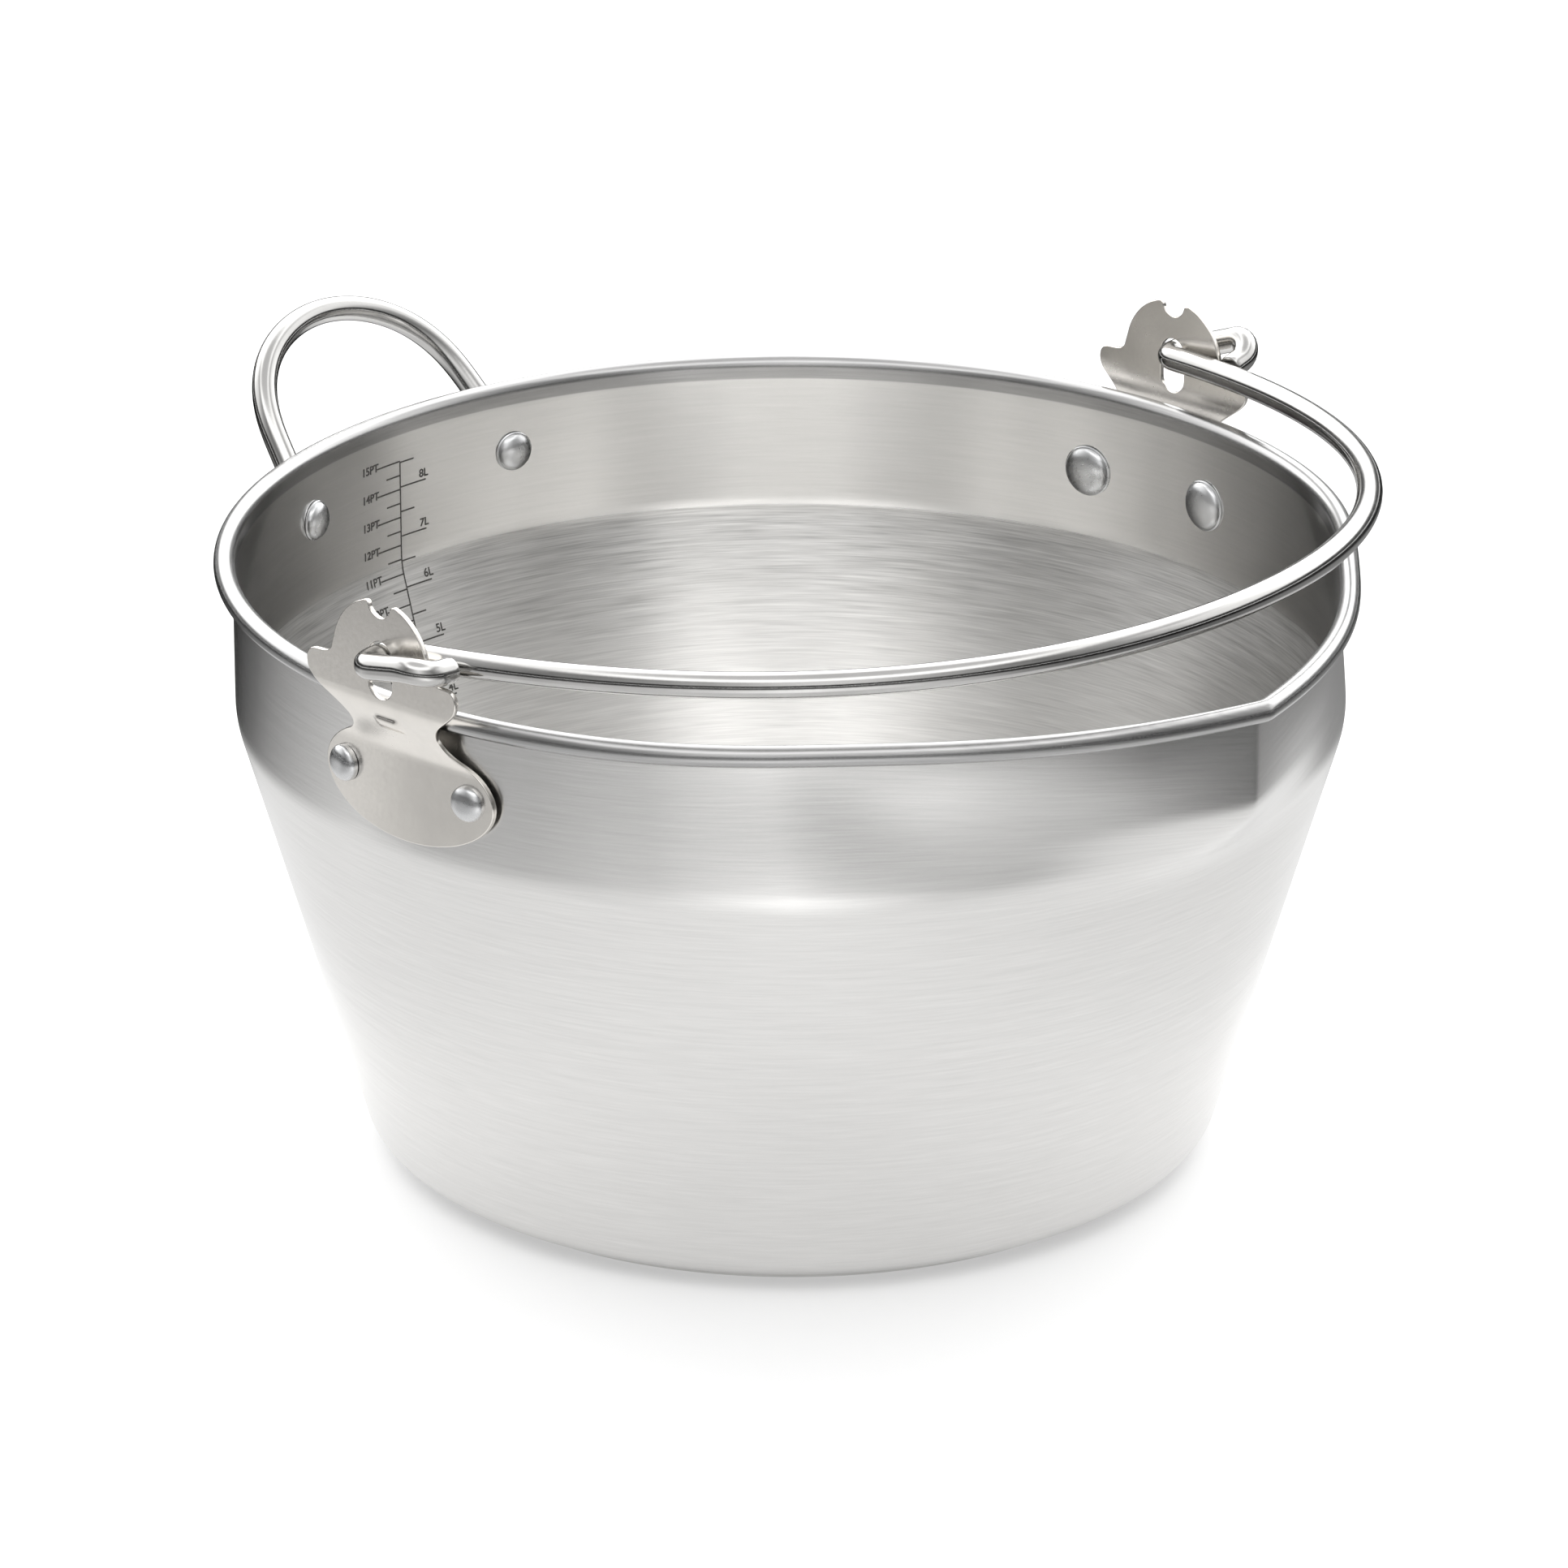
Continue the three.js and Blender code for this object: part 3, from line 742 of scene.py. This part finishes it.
def scale_marks():
    verts, faces = [], []

    def add(points, polygons):
        base = len(verts)
        verts.extend(points)
        faces.extend(tuple(base + i for i in p) for p in polygons)

    def stroke(s0, s1, z):
        s = np.linspace(s0, s1, 7)
        low = on_wall(s, np.full(7, z - STROKE / 2))
        high = on_wall(s, np.full(7, z + STROKE / 2))
        add(np.concatenate([low, high]), [(i, i + 1, i + 8, i + 7) for i in range(6)])

    def text(body, s, z, align):
        data = bpy.data.curves.new("numeral", "FONT")
        data.body = body
        data.size = NUMERAL_SIZE
        data.offset = 0.07
        data.align_x = align
        mesh = mesh_of(data)
        flat = np.array([v.co[:] for v in mesh.vertices])
        add(on_wall(flat[:, 0] + s, flat[:, 1] + z), [tuple(p.vertices) for p in mesh.polygons])

    z = np.linspace(level_of(1.0), level_of(8.5), 80)
    left, right = on_wall(np.full(80, -0.2), z), on_wall(np.full(80, 0.2), z)
    add(np.concatenate([left, right]), [(i, i + 80, i + 81, i + 1) for i in range(79)])
    for half in range(2, 18):
        level = level_of(half / 2)
        whole = half % 2 == 0
        stroke(0, 9.6 if whole else 5.2, level)
        if whole:
            text(f"{half // 2}L", 7.2, level + 1.0, "LEFT")
    for half in range(4, 31):
        level = level_of(half / 2 * PINT)
        whole = half % 2 == 0
        stroke(-9.2 if whole else -5.4, 0, level)
        if whole:
            text(f"{half // 2}PT", -8.6, level - 0.6, "RIGHT")
    return add_mesh("kettle_scale_marks", verts, faces, soft_angle=80)


# ---- assembly ----

sheet = brushed_sheet()
satin = polished("satin_plate", (0.77, 0.742, 0.7), 0.18, 0.28)
rod = polished("polished_rod", (0.5, 0.495, 0.485), 0.1, 0.17)
stud = polished("polished_rivet", (0.62, 0.625, 0.63), 0.24, 0.36)
alloy = polished("core_alloy", (0.55, 0.56, 0.57), 0.35, 0.5)

give(shell(), sheet, "pan", "pan_shell")
give(base_cap(), sheet, "pan", "base_cap")
give(base_core(), alloy, "pan", "base_core_disc")
give(bail(), rod, "bail", "bail_handle")
give(loop_handle(), rod, "pan", "loop_handle")
give(scale_marks(), etched(), "pan", None)
for name, side in (("right", 1), ("left", -1)):
    plate = stop_plate(f"kettle_stop_plate_{name}", side)
    give(plate, satin, "pan", f"bail_plate_{name}")

plate_middle = math.atan2(AXIS_Y, WALL_R)
for end, sign in (("front", -1), ("rear", 1)):
    for where, heading in (
        ("right", plate_middle + sign * PLATE_RIVET_ANGLE),
        ("left", math.pi - plate_middle - sign * PLATE_RIVET_ANGLE),
    ):
        head = rivet(f"kettle_plate_rivet_{where}_{end}", heading, PLATE_RIVET_Z, **PLATE_RIVET)
        give(head, stud, "pan", f"plate_rivet_{where}_{end}")
for where, sign in (("right", -1), ("left", 1)):
    heading = math.pi / 2 + LOOP_TURN + sign * LOOP_RIVET_ANGLE
    head = rivet(f"kettle_loop_rivet_{where}", heading, LOOP_RIVET_Z, **LOOP_RIVET)
    give(head, stud, "pan", f"loop_rivet_{where}")


# ---- stage, light and camera ----

CAMERA_TURN = rad(48.2)
CAMERA_RISE = rad(21.84)
CAMERA_DISTANCE = 2.499
CAMERA_AIM_Z = 0.09764
CAMERA_SHIFT = (-0.004633, 0.00205)

# The studio's front, towards the camera. A ring lists places, which run from the studio's back (0)
# through its front (0.5) to the back again (1), with the light's strength at each.
FRONT = (-math.sin(CAMERA_TURN), -math.cos(CAMERA_TURN))
LOW_RING = ((0.0, 0.1), (0.3, 0.04), (0.7, 0.04), (1.0, 0.1))
LOW_LIGHT = 1.3
LOW_FADE = (0.14, 0.28)
MIDDLE_RING = ((0.0, 0.68), (0.06, 0.85), (0.11, 0.85), (0.16, 0.55), (0.21, 0.37), (0.25, 0.32),
               (0.3, 0.15), (0.36, 0.07), (0.43, 0.15), (0.5, 0.3), (0.57, 0.15), (0.64, 0.07),
               (0.7, 0.15), (0.75, 0.34), (0.79, 0.38), (0.84, 0.55), (0.89, 0.85), (0.94, 0.85),
               (1.0, 0.68))
MIDDLE_LIGHT = 4.6
TOP_RISE = (0.62, 0.84)
TOP_LIGHT = 2.7
STRIP_EDGE = (0.38, 0.72)
STRIP_SIDE = 0.3
ZENITH = (0.84, 0.97)
ZENITH_SHADE = 0.38
CARD_RADII = (0.14, 0.4, 1.0, 3.0)
CARD_FADE = (0.18, 0.27)
CARD_NEAR = 1.04
CARD_NEAR_EDGE = (0.27, 0.37)
CARD_STRETCH = 0.95
CARD_FALL = (0.5, 0.85)
CARD_FAR = 0.1
CARD_RING = ((0.0, 0.0), (0.1, 0.0), (0.15, 0.16), (0.19, 0.42), (0.22, 0.62), (0.268, 0.95),
             (0.31, 0.65), (0.375, 0.74), (0.4375, 1.05), (0.5, 1.85), (0.5625, 0.96), (0.625, 0.3),
             (0.69, 0.2), (0.74, 0.28), (0.81, 0.36), (0.88, 0.3), (1.0, 0.0))
CARD_LIFT = 0.0008
FLOOR_HALF = 6.0
FLOOR_GLOW = 0.34
SURROUND_R = 5.9
SURROUND_HEIGHT = 6.0
SURROUND_GLOW = 1.05
CIRCLE_STEPS = 96


def circle(r, z):
    turn = np.linspace(0, 2 * math.pi, CIRCLE_STEPS + 1)[:-1]
    return [(r * math.cos(a), r * math.sin(a), z) for a in turn]


def between_circles(count):
    faces = []
    for k in range(count - 1):
        for i in range(CIRCLE_STEPS):
            a, b = k * CIRCLE_STEPS + i, k * CIRCLE_STEPS + (i + 1) % CIRCLE_STEPS
            faces.append((a, b, b + CIRCLE_STEPS, a + CIRCLE_STEPS))
    return faces


def stage_mesh(name, verts, faces, material):
    mesh = bpy.data.meshes.new(name)
    mesh.from_pydata(verts, [], faces)
    mesh.materials.append(material)
    return in_scene(name, mesh)


def glowing(name, colour, glow):
    n = Nodes(name)
    n.shader.inputs["Base Color"].default_value = (colour, colour, colour, 1)
    n.shader.inputs["Emission Color"].default_value = (1, 1, 1, 1)
    n.shader.inputs["Emission Strength"].default_value = glow
    return n


def floor():
    n = glowing("floor_white", 0.65, FLOOR_GLOW)
    n.shader.inputs["Roughness"].default_value = 0.9
    corners = ((-1, -1), (1, -1), (1, 1), (-1, 1))
    verts = [(FLOOR_HALF * x, FLOOR_HALF * y, 0) for x, y in corners]
    stage_mesh("floor", verts, [(0, 1, 2, 3)], n.material)


def studio_axes(n, vector):
    """A vector's turn round the studio, its part to the right, its rise and its level length."""
    x, y, z = n.split(vector)
    length = n.hypot(x, y)
    along = n.plus(n.times(x, FRONT[0]), n.times(y, FRONT[1]))
    across = n.plus(n.times(x, -FRONT[1]), n.times(y, FRONT[0]))
    turn = n.math("DIVIDE", n.math("ARCTAN2", across, along), 2 * math.pi)
    return n.plus(turn, 0.5), across, z, length


class WorldNodes(Nodes):
    def __init__(self, name):
        self.world = bpy.data.worlds.new(name)
        self.world.use_nodes = True
        self.tree = self.world.node_tree
        self.shader = self.tree.nodes["Background"]


def grey(n, value, *stops):
    return n.ramp(value, *[(place, (v, v, v)) for place, v in stops])


def world():
    """Rings of light, dim low down and bright towards the back, under a front-to-back strip."""
    n = WorldNodes("studio")
    turn, across, z, _ = studio_axes(n, n.add("ShaderNodeTexCoord").outputs["Generated"])
    low = n.times(grey(n, turn, *LOW_RING), n.span(z, *LOW_FADE, LOW_LIGHT, 0.0))
    top = n.span(z, *TOP_RISE)
    strip = n.span(n.math("ABSOLUTE", across), *STRIP_EDGE, TOP_LIGHT, STRIP_SIDE)
    strip = n.times(strip, n.span(z, *ZENITH, 1.0, ZENITH_SHADE))
    middle = n.times(n.minus(n.span(z, *LOW_FADE), top), MIDDLE_LIGHT)
    middle = n.times(grey(n, turn, *MIDDLE_RING), middle)
    total = n.plus(n.plus(low, middle), n.times(top, strip))
    n.shader.inputs["Color"].default_value = (1, 1, 1, 1)
    n.link(total, n.shader.inputs["Strength"])
    bpy.context.scene.world = n.world


def surround():
    """A white wall round the studio that only the camera sees."""
    verts = circle(SURROUND_R, 0) + circle(SURROUND_R, SURROUND_HEIGHT)
    white = glowing("surround_white", 0, SURROUND_GLOW).material
    obj = stage_mesh("surround", verts, between_circles(2), white)
    for ray in ("diffuse", "glossy", "transmission", "shadow", "volume_scatter"):
        setattr(obj, "visible_" + ray, False)


def floor_card():
    """A ring over the floor that only reflections see; it is clear near the pan."""
    n = Nodes("card")
    turning, across, _, length = studio_axes(n, object_point(n))
    tone = n.times(grey(n, turning, *CARD_RING), n.span(length, *CARD_FALL, 1.0, CARD_FAR))
    change = n.times(n.minus(tone, CARD_NEAR), n.span(length, *CARD_NEAR_EDGE))
    tone = n.plus(change, CARD_NEAR)
    glow = n.add("ShaderNodeEmission")
    n.link(tone, glow.inputs["Strength"])
    clear = n.add("ShaderNodeBsdfTransparent")
    mix = n.add("ShaderNodeMixShader")
    aside = n.times(across, CARD_STRETCH)
    reach = n.hypot(length, aside)
    n.link(n.span(reach, *CARD_FADE), mix.inputs[0])
    n.link(clear.outputs[0], mix.inputs[1])
    n.link(glow.outputs[0], mix.inputs[2])
    n.link(mix.outputs[0], n.tree.nodes["Material Output"].inputs["Surface"])
    verts = [point for r in CARD_RADII for point in circle(r, CARD_LIFT)]
    obj = stage_mesh("floor_card", verts, between_circles(len(CARD_RADII)), n.material)
    for ray in ("camera", "diffuse", "shadow", "transmission"):
        setattr(obj, "visible_" + ray, False)


def camera():
    target = Vector((0, 0, CAMERA_AIM_Z))
    level = math.cos(CAMERA_RISE)
    away = Vector((FRONT[0] * level, FRONT[1] * level, math.sin(CAMERA_RISE)))
    data = bpy.data.cameras.new("camera")
    data.lens = 213.1
    data.sensor_width = 36
    data.shift_x, data.shift_y = CAMERA_SHIFT
    obj = in_scene("camera", data)
    obj.location = target + away * CAMERA_DISTANCE
    obj.rotation_euler = (-away).to_track_quat("-Z", "Y").to_euler()
    bpy.context.scene.camera = obj


floor()
floor_card()
surround()
world()
camera()
bpy.context.scene.view_settings.view_transform = "Standard"
